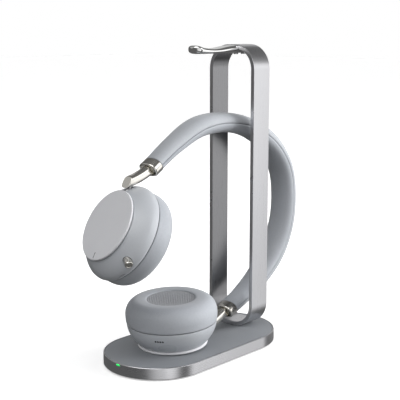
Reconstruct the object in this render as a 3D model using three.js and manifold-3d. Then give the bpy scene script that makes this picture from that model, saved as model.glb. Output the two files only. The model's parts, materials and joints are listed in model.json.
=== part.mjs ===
// Wireless office headset resting in its charging stand.
// Millimetres, +Z up. Origin: centre of the stand's underside. +X runs along the base towards the
// upright loop, and the headband lies in the plane Y = 0.
import * as THREE from 'three';
import { mergeVertices } from 'three/addons/utils/BufferGeometryUtils.js';
import Module from 'manifold-3d';

const wasm = await Module();
wasm.setup();

// ---------------------------------------------------------------- driving dimensions
const GAP = 0.3;                    // clearance between neighbouring pieces
const base = { straight: 38.4, radius: 42, height: 10.1, wall: 2.6, lip: 0.9, foot: 1.2 };
const pad = { x: -21.2 };           // centre of the charging spot on the base
const loop = { x: 56.9, width: 19.5, halfSpan: 23.3, thickness: 3.3, top: 241.6, corner: 19.5 };
const hook = { tip: 0.6, width: 14, bottom: 234.8, rootTop: 241.1, saddleTop: 238.9, tipTop: 240.2 };
const band = {
  // the centre line's [x, z] points, from the end near the base, over the crown, to the hanging end
  line: [[46.2, 26], [61, 32.4], [87.1, 48.3], [106.5, 68.6], [117, 95.5], [114.6, 131.5], [98.8, 154.8],
    [71.2, 172.3], [39, 180.2], [6.5, 178.6], [-22, 166.2], [-40.6, 155]],
  endHalf: [8.6, 5.7], midHalf: [11.6, 7.8], taper: 70, roundness: 2.4, skin: 1.8, stations: 24,
};
const collar = { length: 7.8, grow: 0.2, rim: 1.3, rimDepth: 1.8 };
const arm = { half: [4.1, 3.8], roundness: 3, clearance: 0.4, tongue: [6.4, 2.4], tongueLength: 14 };
const cup = {
  seamRadius: 35.6, bowlRadius: 36.6, widest: 3, neckRadius: 27, bowlHeight: 16.4, wall: 2.2, floor: 1.8,
  discRadius: 27.4, faceHeight: 18.8, cushionRadius: 36, cushionDepth: 18.5, earRadius: 20,
  hingeRadius: 20.8, hingeHeight: 12,
};
const SEGMENTS = 32;                // facets round a cup

// ---------------------------------------------------------------- materials
function finish(color, roughness, metalness) {
  return new THREE.MeshStandardMaterial({ color, roughness, metalness });
}

const materials = {
  aluminium: finish(0xb9bbc2, 0.32, 1),
  chrome: finish(0xe8e8e6, 0.08, 1),
  nickel: finish(0xc9c5ba, 0.24, 1),
  softTouch: finish(0x7c8086, 0.62, 0),
  shell: finish(0xb9bdc4, 0.48, 0),
  disc: finish(0xb2b3b8, 0.55, 0),
  cushion: finish(0x9da1a8, 0.6, 0),
  mesh: finish(0x6f7379, 0.85, 0),
  cover: finish(0xa9adb4, 0.5, 0),
  darkPlastic: finish(0x3a3c40, 0.6, 0),
  rubber: finish(0x2b2c2e, 0.85, 0),
  steel: finish(0x8f9296, 0.4, 1),
  copper: finish(0xb87345, 0.35, 1),
  board: finish(0x1f5a3c, 0.5, 0),
  battery: finish(0x9aa7b4, 0.5, 0.3),
  lamp: finish(0x58e08a, 0.3, 0),
};

// ---------------------------------------------------------------- geometry helpers
/** Merges shared vertices, drops triangles with no area and turns the faces outwards. */
function tidy(geometry) {
  const bare = new THREE.BufferGeometry();
  bare.setAttribute('position', geometry.getAttribute('position').clone());
  if (geometry.index) bare.setIndex(geometry.index.clone());
  const merged = mergeVertices(bare, 1e-4);
  const index = merged.index.array;
  const position = merged.getAttribute('position');
  const kept = [];
  const corners = [new THREE.Vector3(), new THREE.Vector3(), new THREE.Vector3()];
  let volume = 0;
  for (let i = 0; i < index.length; i += 3) {
    const [a, b, c] = [index[i], index[i + 1], index[i + 2]];
    if (a === b || b === c || a === c) continue;
    kept.push(a, b, c);
    [a, b, c].forEach((vertex, k) => corners[k].fromBufferAttribute(position, vertex));
    volume += corners[0].dot(corners[1].clone().cross(corners[2]));
  }
  if (volume < 0) kept.reverse();
  merged.setIndex(kept);
  return merged;
}

function toSolid(geometry) {
  const clean = tidy(geometry);
  return new wasm.Manifold(new wasm.Mesh({
    numProp: 3,
    vertProperties: new Float32Array(clean.getAttribute('position').array),
    triVerts: new Uint32Array(clean.index.array),
  }));
}

function toGeometry(solid) {
  const result = solid.getMesh();
  const geometry = new THREE.BufferGeometry();
  geometry.setAttribute('position', new THREE.BufferAttribute(new Float32Array(result.vertProperties), 3));
  geometry.setIndex(Array.from(result.triVerts));
  return geometry;
}

function cut(body, ...tools) {
  return toGeometry(tools.reduce((rest, tool) => rest.subtract(toSolid(tool)), toSolid(body)));
}

function join(body, ...others) {
  return toGeometry(others.reduce((sum, other) => sum.add(toSolid(other)), toSolid(body)));
}

/** Revolves a closed [radius, z] profile about Z. */
function revolve(profile, segments = SEGMENTS) {
  const points = profile.map(([radius, z]) => new THREE.Vector2(radius, z));
  const [first, last] = [points[0], points[points.length - 1]];
  if (first.x > 0 || last.x > 0) points.push(first.clone());
  return new THREE.LatheGeometry(points, segments).rotateX(Math.PI / 2);
}

/** A cylinder between two heights, standing along Z. */
function post(radius, bottom, top, segments = 24) {
  const height = top - bottom;
  return new THREE.CylinderGeometry(radius, radius, height, segments)
    .rotateX(Math.PI / 2).translate(0, 0, bottom + height / 2);
}

const block = (x, y, z) => new THREE.BoxGeometry(x[1] - x[0], y[1] - y[0], z[1] - z[0])
  .translate((x[0] + x[1]) / 2, (y[0] + y[1]) / 2, (z[0] + z[1]) / 2);

/** Outline of the base, drawn in by a distance: two straight sides and two half-round ends. */
function baseOutline(inset) {
  const radius = base.radius - inset;
  const outline = new THREE.Shape();
  outline.absarc(base.straight, 0, radius, -Math.PI / 2, Math.PI / 2, false);
  outline.absarc(-base.straight, 0, radius, Math.PI / 2, 1.5 * Math.PI, false);
  return outline;
}

const slab = (outline, bottom, top, curveSegments = 12) => new THREE.ExtrudeGeometry(outline,
  { depth: top - bottom, bevelEnabled: false, curveSegments }).translate(0, 0, bottom);

const smooth = (t) => t * t * (3 - 2 * t);

/** Points of a rounded section, from one angle to another, as [across, outwards] pairs. */
function roundedArc([across, outwards], from, to, steps, power = band.roundness) {
  return Array.from({ length: steps + 1 }, (_, i) => {
    const angle = from + ((to - from) * i) / steps;
    const shape = (value) => Math.sign(value) * Math.abs(value) ** (2 / power);
    return [across * shape(Math.cos(angle)), outwards * shape(Math.sin(angle))];
  });
}

/** Joins sections set along a line in the plane Y = 0. A station is { x, z, tx, tz, section }. */
function sweep(stations) {
  const count = stations[0].section.length;
  const positions = [];
  for (const { x, z, tx, tz, section } of stations) {
    for (const [across, outwards] of section) positions.push(x + tz * outwards, across, z - tx * outwards);
  }
  const index = [];
  for (let s = 0; s + 1 < stations.length; s += 1) {
    for (let i = 0; i < count; i += 1) {
      const [a, b] = [s * count + i, s * count + ((i + 1) % count)];
      index.push(a, b, b + count, a, b + count, a + count);
    }
  }
  const flat = stations[0].section.map(([across, outwards]) => new THREE.Vector2(across, outwards));
  const last = (stations.length - 1) * count;
  for (const [a, b, c] of THREE.ShapeUtils.triangulateShape(flat, [])) {
    index.push(a, c, b, last + a, last + b, last + c);
  }
  const geometry = new THREE.BufferGeometry();
  geometry.setAttribute('position', new THREE.Float32BufferAttribute(positions, 3));
  geometry.setIndex(index);
  return geometry;
}

const fullTurn = (half, steps = 20, power = 2) => roundedArc(half, 0, 2 * Math.PI, steps, power).slice(0, -1);

const model = new THREE.Group();

function add(parent, name, geometry, material) {
  const mesh = new THREE.Mesh(tidy(geometry), material);
  mesh.name = name;
  parent.add(mesh);
}

// ---------------------------------------------------------------- stand: base
const screwSpots = [[-48, 24], [-48, -24], [30, 30], [30, -30]];
const screw = { head: 2.4, shank: 1.1, tip: 6.4, boss: 3.4, thread: 1.4, hole: 1.5, recess: 2.8 };
const tiny = { head: 1.9, headHeight: 1, shank: 0.95, hole: 1.25 };
const loopScrews = [{ name: 'right', y: -2.2 }, { name: 'left', y: 2.2 }];
const hookScrews = [{ name: 'front', x: loop.x - 4.5 }, { name: 'rear', x: loop.x + 4.5 }];
const chargingPort = { half: 5.1, bottom: 3.9, top: 7.7 };
const lampSlot = { half: 2.1, bottom: 8.2, top: 9.4 };
const ballast = { x: [6, 66], y: [-24, 24], z: [3.5, 6.2], window: { x: [50, 64], y: [-8, 8] } };
const coil = { inner: 8, outer: 20, bottom: 6.3, top: 7.6 };
const shield = { radius: 22, bottom: 5.1, top: 6 };
const chargerBoard = { x: [-40, -2], y: [-14, 14], z: [3.6, 4.7] };
const socket = { x: [70.2, 77.8], y: [-4.5, 4.5], z: [4.3, 7.4], wall: 0.6, back: 1.3 };
const plate = { bottom: base.height - 1.9, inset: base.lip };
const bottomCover = { bottom: base.foot + GAP, top: base.foot + GAP + 1.6 };

function baseRim() {
  const outer = slab(baseOutline(0), base.foot, base.height - 0.5);
  const chamfer = slab(baseOutline(0.5), base.height - 0.6, base.height);
  const opening = slab(baseOutline(base.wall), 0, plate.bottom);
  const seat = slab(baseOutline(plate.inset), plate.bottom - 0.01, base.height + 1);
  const end = base.straight + base.radius;
  const port = block([end - 10, end + 10], [-chargingPort.half, chargingPort.half],
    [chargingPort.bottom, chargingPort.top]);
  const lamp = block([-end - 10, 10 - end], [-lampSlot.half, lampSlot.half], [lampSlot.bottom, lampSlot.top]);
  return cut(join(outer, chamfer), opening, seat, port, lamp);
}

function baseTopPlate() {
  const sheet = slab(baseOutline(plate.inset + GAP), plate.bottom + GAP, base.height - 0.1);
  const bosses = screwSpots
    .map(([x, y]) => post(screw.boss, bottomCover.top + GAP, plate.bottom + 1).translate(x, y, 0));
  const threads = screwSpots.map(([x, y]) => post(screw.thread, 0, plate.bottom - 0.6).translate(x, y, 0));
  const loopHoles = loopScrews
    .map(({ y }) => post(tiny.hole, plate.bottom - 1, base.height + 1).translate(loop.x, y, 0));
  return cut(join(sheet, ...bosses), ...threads, ...loopHoles);
}

function baseBottomCover() {
  const sheet = slab(baseOutline(base.wall + GAP), bottomCover.bottom, bottomCover.top);
  const holes = screwSpots.map(([x, y]) => post(screw.hole, 0, 5).translate(x, y, 0));
  const heads = screwSpots
    .map(([x, y]) => post(screw.recess, 0, bottomCover.bottom + 0.7).translate(x, y, 0));
  return cut(sheet, ...holes, ...heads);
}

function baseScrew() {
  const head = bottomCover.bottom + 0.5;
  return revolve([[0, head - 0.45], [screw.head, head - 0.45], [screw.head, head], [screw.shank, head],
    [screw.shank, screw.tip], [0, screw.tip]], 16);
}

/** A small screw that points up: head below, shank above. */
function smallScrew(headBottom, tip) {
  const headTop = headBottom + tiny.headHeight;
  return revolve([[0, headBottom], [tiny.head, headBottom], [tiny.head, headTop],
    [tiny.shank, headTop], [tiny.shank, tip], [0, tip]], 16);
}

/** A flat ring, or a disc when its inner radius is 0, between two heights. */
function washer(inner, outer, bottom, top, segments = 24) {
  return revolve([[inner, bottom], [outer, bottom], [outer, top], [inner, top]], segments);
}

function ballastPlate() {
  const { x, y, z, window } = ballast;
  return cut(block(x, y, z), block(window.x, window.y, [z[0] - 1, z[1] + 1]));
}

function usbSocket() {
  const { x, y, z, wall, back } = socket;
  const hollow = block([x[0] + back, x[1] + 1], [y[0] + wall, y[1] - wall], [z[0] + wall, z[1] - wall]);
  return cut(block(x, y, z), hollow);
}

function addBase(parent) {
  add(parent, 'base_rim', baseRim(), materials.aluminium);
  add(parent, 'base_top_plate', baseTopPlate(), materials.softTouch);
  add(parent, 'base_bottom_cover', baseBottomCover(), materials.darkPlastic);
  add(parent, 'base_foot_pad', slab(baseOutline(4), 0, base.foot), materials.rubber);
  screwSpots.forEach(([x, y], i) => {
    add(parent, `base_screw_${i + 1}`, baseScrew().translate(x, y, 0), materials.steel);
  });
  add(parent, 'ballast_plate', ballastPlate(), materials.steel);
  const winding = washer(coil.inner, coil.outer, coil.bottom, coil.top).translate(pad.x, 0, 0);
  add(parent, 'charging_coil', winding, materials.copper);
  const sheet = washer(0, shield.radius, shield.bottom, shield.top).translate(pad.x, 0, 0);
  add(parent, 'coil_shield', sheet, materials.darkPlastic);
  add(parent, 'charger_board', block(chargerBoard.x, chargerBoard.y, chargerBoard.z), materials.board);
  add(parent, 'usb_c_socket', usbSocket(), materials.steel);
  const lens = block([-80.2, -79.5], [GAP - lampSlot.half, lampSlot.half - GAP],
    [lampSlot.bottom + GAP, lampSlot.top - GAP]);
  add(parent, 'status_light', lens, materials.lamp);
}

// ---------------------------------------------------------------- stand: loop and hook
function loopOutline(inset) {
  const [half, radius] = [loop.halfSpan - inset, loop.corner - inset];
  const [low, high] = [base.height + GAP / 2 + inset, loop.top - inset];
  const outline = new THREE.Path();
  outline.absarc(half - radius, low + radius, radius, -Math.PI / 2, 0, false);
  outline.absarc(half - radius, high - radius, radius, 0, Math.PI / 2, false);
  outline.absarc(radius - half, high - radius, radius, Math.PI / 2, Math.PI, false);
  outline.absarc(radius - half, low + radius, radius, Math.PI, 1.5 * Math.PI, false);
  outline.closePath();
  return outline;
}

function loopBand() {
  const shape = new THREE.Shape(loopOutline(0).getPoints(6));
  shape.holes.push(new THREE.Path(loopOutline(loop.thickness).getPoints(6)));
  const geometry = new THREE.ExtrudeGeometry(shape, { depth: loop.width, bevelEnabled: false });
  geometry.rotateX(Math.PI / 2).rotateZ(Math.PI / 2).translate(loop.x - loop.width / 2, 0, 0);
  const feet = loopScrews.map(({ y }) => post(tiny.hole, 5, base.height + 2.6).translate(loop.x, y, 0));
  const threads = hookScrews.map(({ x }) => post(tiny.hole, hook.bottom, loop.top - 0.8).translate(x, 0, 0));
  return cut(geometry, ...feet, ...threads);
}

/** A solid rounded bar with a shallow saddle on top, and a flat tongue under the loop's crossbar. */
function hookBar() {
  const root = loop.x - loop.width / 2 - GAP;
  const length = root - hook.tip;
  const stations = [];
  const steps = 11;
  for (let i = 0; i <= steps; i += 1) {
    const along = i / steps;
    const dip = Math.sin(Math.PI * Math.min(1, along / 0.55 * 0.5)) ** 2;
    const rise = smooth(Math.max(0, (along - 0.8) / 0.2));
    const top = hook.rootTop + (hook.saddleTop - hook.rootTop) * dip + (hook.tipTop - hook.saddleTop) * rise;
    const rounding = Math.sqrt(Math.max(0, 1 - Math.max(0, (along - 0.88) / 0.12) ** 2));
    const scale = Math.max(0.35, rounding);
    const half = (top - hook.bottom) / 2;
    const section = fullTurn([(hook.width / 2) * scale, half * (0.55 + 0.45 * scale)], 16, 2.6);
    stations.push({ x: root - along * length, z: hook.bottom + half, tx: -1, tz: 0, section });
  }
  const tongueTop = loop.top - loop.thickness - GAP;
  const tongue = block([root - 2, loop.x + 8], [-6, 6], [hook.bottom + 0.2, tongueTop]);
  const holes = hookScrews.map(({ x }) => post(tiny.hole, hook.bottom - 5, loop.top).translate(x, 0, 0));
  return cut(join(sweep(stations), tongue), ...holes);
}

function addLoop(parent) {
  add(parent, 'loop_band', loopBand(), materials.aluminium);
  add(parent, 'hook', hookBar(), materials.chrome);
  loopScrews.forEach(({ name, y }) => {
    const screwShape = smallScrew(plate.bottom - tiny.headHeight - 0.05, base.height + 2.2);
    add(parent, `loop_screw_${name}`, screwShape.translate(loop.x, y, 0), materials.steel);
  });
  hookScrews.forEach(({ name, x }) => {
    const screwShape = smallScrew(hook.bottom - tiny.headHeight, loop.top - 1.2);
    add(parent, `hook_screw_${name}`, screwShape.translate(x, 0, 0), materials.steel);
  });
}

// ---------------------------------------------------------------- headband
const bandLine = new THREE.CatmullRomCurve3(band.line.map(([x, z]) => new THREE.Vector3(x, 0, z)));
const bandLength = bandLine.getLength();

/** Station on the headband's centre line, a distance along it from the lower end. */
function bandStation(distance) {
  const at = bandLine.getPointAt(distance / bandLength);
  const tangent = bandLine.getTangentAt(distance / bandLength);
  const grow = smooth(Math.min(1, Math.min(distance, bandLength - distance) / band.taper));
  const half = band.endHalf.map((end, k) => end + (band.midHalf[k] - end) * grow);
  return { x: at.x, z: at.z, tx: tangent.x, tz: tangent.z, half };
}

/** Sweeps a section, worked out from the local half sizes, between two insets from the ends. */
function alongBand(inset, makeSection) {
  return sweep(Array.from({ length: band.stations + 1 }, (_, i) => {
    const station = bandStation(inset + ((bandLength - 2 * inset) * i) / band.stations);
    return { ...station, section: makeSection(station.half) };
  }));
}

const lift = (points, amount) => points.map(([across, outwards]) => [across, outwards + amount]);

const coverSection = (half) => {
  const inner = half.map((value) => value - band.skin);
  return lift([...roundedArc(half, 0, Math.PI, 8), ...roundedArc(inner, Math.PI, 0, 8)], GAP / 2);
};
const cushionSection = (half) => lift(roundedArc(half, Math.PI, 2 * Math.PI, 10), -GAP / 2);
/** A flat bar inside the cover: a share of the half width to each side, between two heights. */
function innerBar(halfWidth, low, high) {
  return [[halfWidth, low], [halfWidth, high], [-halfWidth, high], [-halfWidth, low]];
}

const spring = { share: 0.55, low: 0.45, high: 1.45 };
const stiffener = { share: 0.5, low: 1.75, roof: 3.1 };
const innerLength = 36;             // how far the spring and its frame stop short of each end
const springSection = ([across]) => innerBar(spring.share * across, spring.low, spring.high);
const frameSection = ([across, outwards]) => innerBar(stiffener.share * across, stiffener.low,
  outwards - stiffener.roof);

/** One end of the headband: where it stops and which way the earcup's arm leaves it. */
function bandEnd(side) {
  const { x, z, tx, tz, half } = bandStation(side === 'upper' ? bandLength : 0);
  const way = side === 'upper' ? 1 : -1;
  return { x, z, dx: tx * way, dz: tz * way, half };
}

/** Station on an end's axis, a distance past the end. */
function pastEnd(end, distance, section) {
  const [x, z] = [end.x + end.dx * distance, end.z + end.dz * distance];
  return { x, z, tx: end.dx, tz: end.dz, section };
}

/** A straight rod of constant section along an end's axis, between two distances past the end. */
function endRod(end, section, from, to) {
  return sweep([from, to].map((distance) => pastEnd(end, distance, section)));
}

const boxSection = ([width, height]) => [[0.5, 0.5], [-0.5, 0.5], [-0.5, -0.5], [0.5, -0.5]]
  .map(([a, b]) => [a * width, b * height]);

const slideDepth = { bar: 7, tongue: 21 };

const boreSection = () => fullTurn(arm.half.map((value) => value + arm.clearance), 20, arm.roundness);

/** The room that an arm and its tongue need inside the headband. */
function slideway(side) {
  const end = bandEnd(side);
  const tongueRoom = arm.tongue.map((size) => size + 2 * arm.clearance);
  return [
    endRod(end, boreSection(), -slideDepth.bar, 1),
    endRod(end, boxSection(tongueRoom), -slideDepth.tongue, 1),
  ];
}

function collarRing(side) {
  const end = bandEnd(side);
  const outer = end.half.map((value) => value + collar.grow);
  const section = (inset) => fullTurn(outer.map((value) => value - inset), 20, band.roundness);
  const ringEnds = [[GAP, 0.4], [GAP + 0.6, 0], [collar.length - 0.7, 0], [collar.length, 0.7]];
  const body = sweep(ringEnds.map(([distance, inset]) => pastEnd(end, distance, section(inset))));
  const bore = endRod(end, boreSection(), -1, collar.length + 1);
  const mouthSection = section(collar.rim + 0.9);
  const mouth = endRod(end, mouthSection, collar.length - collar.rimDepth, collar.length + 1);
  return cut(body, bore, mouth);
}

function addHeadband(parent) {
  const slideways = [...slideway('upper'), ...slideway('lower')];
  add(parent, 'headband_cover', cut(alongBand(0, coverSection), ...slideways), materials.cover);
  add(parent, 'headband_cushion', cut(alongBand(0, cushionSection), ...slideways), materials.cushion);
  add(parent, 'headband_spring', alongBand(innerLength, springSection), materials.steel);
  add(parent, 'headband_frame', alongBand(innerLength, frameSection), materials.darkPlastic);
  add(parent, 'upper_collar', collarRing('upper'), materials.nickel);
  add(parent, 'lower_collar', collarRing('lower'), materials.nickel);
}

// ---------------------------------------------------------------- earcup places
/** A cup's frame: out is the way its outer disc faces, pin points from its centre to its hinge. */
function cupFrame(out, swivelPin, seamCentre) {
  const w = new THREE.Vector3().crossVectors(out, swivelPin).normalize();
  const u = new THREE.Vector3().crossVectors(w, out).normalize();
  const matrix = new THREE.Matrix4().makeBasis(u, w, out);
  matrix.setPosition(seamCentre);
  return matrix;
}

const radians = THREE.MathUtils.degToRad;
// lean: of the swivel axis off vertical; swivel: how far the cup has turned on it; axis: the hinge's [x, z]
const hanging = { lean: radians(31), swivel: radians(-11.2), axis: [-82.4, 112.7] };
// lean: of the cup off level; seam: the [x, z] of the middle of its seam
const resting = { lean: radians(3), seam: [-22.9, 30.35] };

const hangingPin = new THREE.Vector3(Math.sin(hanging.lean), 0, Math.cos(hanging.lean));
const hangingOutNeutral = new THREE.Vector3(-Math.cos(hanging.lean), 0, Math.sin(hanging.lean));
const hangingOut = hangingOutNeutral.clone().applyAxisAngle(hangingPin, hanging.swivel);
const hangingSeam = new THREE.Vector3(hanging.axis[0], 0, hanging.axis[1])
  .addScaledVector(hangingOut, -cup.hingeHeight);
const upperFrame = cupFrame(hangingOut, hangingPin, hangingSeam);

const restingPin = new THREE.Vector3(Math.cos(resting.lean), 0, Math.sin(resting.lean));
const restingOut = new THREE.Vector3(Math.sin(resting.lean), 0, -Math.cos(resting.lean));
const lowerFrame = cupFrame(restingOut, restingPin, new THREE.Vector3(resting.seam[0], 0, resting.seam[1]));

// ---------------------------------------------------------------- arms
/** The plane that an arm lies in: its cup's frame before the cup is swivelled. */
const armFrames = {
  upper: cupFrame(hangingOutNeutral, hangingPin, new THREE.Vector3(hanging.axis[0], 0, hanging.axis[1])
    .addScaledVector(hangingOutNeutral, -cup.hingeHeight)),
  lower: lowerFrame,
};

// inside: length of full-section bar hidden in the headband; straight: how far past the mouth it stays
// straight; handles: how gently it bends; end: its centre's reach and height, and its lean off the axis.
const bars = {
  upper: { inside: 13, straight: -2, handles: [4, 9], reach: 34.4, height: 17, lean: 36, squareCut: false },
  lower: { inside: 1.5, straight: 12, handles: [5, 5], reach: 36.2, height: 12.7, lean: 93, squareCut: true },
};

function armCurve(side) {
  const end = bandEnd(side);
  const bar = bars[side];
  const place = (reach, height) => new THREE.Vector3(reach, 0, height).applyMatrix4(armFrames[side]);
  const tip = place(bar.reach, bar.height);
  const lean = radians(bar.lean);
  const heading = place(-Math.sin(lean), Math.cos(lean)).sub(place(0, 0));
  const from = collar.length + bar.straight;
  const start = new THREE.Vector2(end.x + end.dx * from, end.z + end.dz * from);
  const stop = new THREE.Vector2(tip.x, tip.z);
  const curve = new THREE.CubicBezierCurve(
    start,
    start.clone().add(new THREE.Vector2(end.dx, end.dz).multiplyScalar(bar.handles[0])),
    stop.clone().sub(new THREE.Vector2(heading.x, heading.z).multiplyScalar(bar.handles[1])),
    stop,
  );
  return { end, bar, curve, heading };
}

// top and neckTop are distances from the cup's axis; slot is the opening's half width and half height
const pin = {
  radius: 1.6, neck: 2.6, barrel: 2.2, barrelHalf: 4.4, slot: [3.1, 3.9],
  top: { upper: 36.5, lower: 41 }, neckTop: { upper: 30.6, lower: 35.2 },
};

/** A cylinder that points straight out from a cup's axis, between two distances from it. */
function radial(radius, from, to, height = cup.hingeHeight, segments = 16) {
  return post(radius, from, to, segments).rotateY(Math.PI / 2).translate(0, 0, height);
}

function armBar(side) {
  const { end, bar, curve, heading } = armCurve(side);
  const section = fullTurn(arm.half, 20, arm.roundness);
  const inside = collar.length - bar.inside;
  const stations = [pastEnd(end, inside, section)];
  const steps = 8;
  for (let i = 0; i <= steps; i += 1) {
    const at = curve.getPoint(i / steps);
    const tangent = curve.getTangent(i / steps);
    stations.push({ x: at.x, z: at.y, tx: tangent.x, tz: tangent.y, section });
  }
  const tools = [radial(pin.radius + GAP, 25, pin.top[side] + 0.6).applyMatrix4(armFrames[side])];
  if (!bar.squareCut) {
    const last = stations[stations.length - 1];
    const spare = 7;
    stations.push({ ...last, x: last.x + heading.x * spare, z: last.z + heading.z * spare });
    tools.push(block([15, 55], [-9, 9], [bar.height, bar.height + 20]).applyMatrix4(armFrames[side]));
  }
  const tongue = endRod(end, boxSection(arm.tongue), inside - arm.tongueLength, inside + 1.5);
  return cut(join(sweep(stations), tongue), ...tools);
}

/** The swivel pin, its neck and the barrel that the cup tilts on, in the cup's frame. */
function knuckle(side) {
  const barrel = post(pin.barrel, -pin.barrelHalf, pin.barrelHalf, 16)
    .rotateX(Math.PI / 2).translate(cup.hingeRadius, 0, cup.hingeHeight);
  const neck = radial(pin.neck, cup.hingeRadius + 2.8, pin.neckTop[side]);
  return join(radial(pin.radius, cup.hingeRadius, pin.top[side]), barrel, neck);
}

// ---------------------------------------------------------------- earcups
/** The bowl's outer radius: a rounded lip below its widest line, and a dome above it. */
function bowlRadius(z) {
  const below = z < cup.widest;
  const drop = cup.bowlRadius - (below ? cup.seamRadius : cup.neckRadius);
  const share = below ? 1 - z / cup.widest : (z - cup.widest) / (cup.bowlHeight - cup.widest);
  return cup.bowlRadius - drop * share ** 2;
}

/** The bowl's shell and the opening for its pin, ready to be cut. */
function bowlShell() {
  const steps = 7;
  const inner = cup.bowlHeight - cup.floor;
  const outerWall = Array.from({ length: steps + 1 }, (_, i) => cup.bowlHeight * (1 - i / steps))
    .map((z) => [bowlRadius(z), z]);
  const innerWall = Array.from({ length: steps + 1 }, (_, i) => (inner * i) / steps)
    .map((z) => [bowlRadius(z) - cup.wall, z]);
  const shell = revolve([[0, cup.bowlHeight], ...outerWall, ...innerWall, [0, inner]]);
  const [halfWidth, halfHeight] = pin.slot;
  const pinSlot = block([cup.hingeRadius + 2.5, cup.bowlRadius + 1.4], [-halfWidth, halfWidth],
    [cup.hingeHeight - halfHeight, cup.hingeHeight + halfHeight]);
  return [shell, pinSlot];
}

/** Turns a piece built towards +X to an angle round the cup's axis. */
const round = (geometry, degrees) => geometry.rotateZ(radians(degrees));

function outerDisc() {
  const [top, bottom, radius] = [cup.faceHeight, cup.bowlHeight + GAP, cup.discRadius];
  return revolve([[0, bottom], [radius - 0.9, bottom], [radius, bottom + 0.7], [radius, top - 0.7],
    [radius - 0.25, top - 0.2], [radius - 0.9, top], [0, top]]);
}

function earCushion() {
  const [back, front, radius, ear] = [-1.8, -cup.cushionDepth, cup.cushionRadius, cup.earRadius];
  const steps = 7;
  const widest = -6;
  const crown = radius - 10.5;
  const side = Array.from({ length: steps + 1 }, (_, i) => {
    const angle = (Math.PI / 2) * (i / steps);
    return [crown + (radius - crown) * Math.cos(angle), widest + (front - widest) * Math.sin(angle) ** 0.9];
  });
  return revolve([[ear, back], [radius - 1.6, back], [radius - 0.4, -3.6], ...side,
    [ear + 2.6, front + 0.5], [ear + 0.6, front + 1.8], [ear, front + 3]]);
}

// heights of the pieces inside a cup, measured from the seam
const seamRing = { inner: 23, outer: 34.5, bottom: -1.5, top: -GAP };
const baffle = { inner: 13, outer: 32.3, bottom: 0.6, top: 2.2 };
const speaker = { radius: 15.5, magnet: 11, bottom: 2.6, rim: 4.2, step: 5, top: 9.6 };
const cupBoard = { radius: 16.8, bottom: 10.5, top: 11.7 };
const battery = { x: [-12, 12], y: [-9, 9], z: [12, 14.2] };
const receiver = { inner: 7, outer: 15, bottom: 12.6, top: 14 };
const earMesh = { recess: 2.4, thickness: 1.2 };

function speakerDriver() {
  return revolve([[0, speaker.bottom], [speaker.radius, speaker.bottom], [speaker.radius, speaker.rim],
    [speaker.magnet, speaker.step], [speaker.magnet, speaker.top], [0, speaker.top]], 20);
}

function hingeBracket() {
  const [reach, height] = [cup.hingeRadius, cup.hingeHeight];
  const body = block([reach - 3.2, reach + 2.4], [-6.6, 6.6], [height - 3.3, height + 2.2]);
  const cradle = block([reach - 2.5, reach + 4], [-4.7, 4.7], [height - 4, height + 4]);
  return cut(body, cradle);
}

/** The pieces that both cups share. */
function addCup(parent, side, bowl) {
  add(parent, `${side}_bowl`, bowl, materials.shell);
  add(parent, `${side}_outer_disc`, outerDisc(), materials.disc);
  const ring = washer(seamRing.inner, seamRing.outer, seamRing.bottom, seamRing.top, SEGMENTS);
  add(parent, `${side}_seam_ring`, ring, materials.darkPlastic);
  const plateShape = washer(baffle.inner, baffle.outer, baffle.bottom, baffle.top);
  add(parent, `${side}_baffle`, plateShape, materials.darkPlastic);
  add(parent, `${side}_speaker`, speakerDriver(), materials.steel);
  add(parent, `${side}_ear_cushion`, earCushion(), materials.cushion);
  const front = earMesh.recess - cup.cushionDepth;
  const cloth = washer(0, cup.earRadius - GAP, front, front + earMesh.thickness, SEGMENTS);
  add(parent, `${side}_ear_mesh`, cloth, materials.mesh);
  add(parent, `${side}_board`, post(cupBoard.radius, cupBoard.bottom, cupBoard.top), materials.board);
  add(parent, `${side}_hinge_bracket`, hingeBracket(), materials.steel);
}

const button = { angle: -128.1, height: 8.1, radius: 3, tilt: 90, depth: 3.6, stand: 4 };
const micSlot = { angle: -148.4, half: 3.2, bottom: 2.8, top: 3.4, inner: 35 };
const micHoles = { angle: 147.7, pitch: 3.2, count: 4, radius: 0.55, height: 5.6, inner: 28 };

/** Places a piece built along +Z so that it stands out of the bowl's wall at a height and angle. */
function onBowl(geometry, height, degrees, tilt) {
  return round(geometry.rotateY(radians(tilt)).translate(bowlRadius(height), 0, height), degrees);
}

function addUpperCup(parent) {
  const group = new THREE.Group();
  group.applyMatrix4(upperFrame);
  const well = onBowl(post(button.radius + GAP, -5, 6), button.height, button.angle, button.tilt);
  const slit = round(block([micSlot.inner, micSlot.inner + 3], [-micSlot.half, micSlot.half],
    [micSlot.bottom, micSlot.top]), micSlot.angle);
  addCup(group, 'upper', cut(...bowlShell(), well, slit));
  const { radius, depth, stand } = button;
  const cap = revolve([[0, -depth], [radius, -depth], [radius, stand - 0.7], [radius - 0.6, stand - 0.1],
    [0, stand]], 24);
  add(group, 'upper_button', onBowl(cap, button.height, button.angle, button.tilt), materials.nickel);
  add(group, 'upper_battery', block(battery.x, battery.y, battery.z), materials.battery);
  add(group, 'upper_knuckle', knuckle('upper'), materials.steel);
  parent.add(group);
}

function addLowerCup(parent) {
  const group = new THREE.Group();
  group.applyMatrix4(lowerFrame);
  const holes = Array.from({ length: micHoles.count }, (_, i) => round(
    radial(micHoles.radius, micHoles.inner, micHoles.inner + 10, micHoles.height, 10),
    micHoles.angle + i * micHoles.pitch,
  ));
  addCup(group, 'lower', cut(...bowlShell(), ...holes));
  const winding = washer(receiver.inner, receiver.outer, receiver.bottom, receiver.top, 20);
  add(group, 'lower_receiver_coil', winding, materials.copper);
  add(group, 'lower_knuckle', knuckle('lower'), materials.steel);
  parent.add(group);
}

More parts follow.
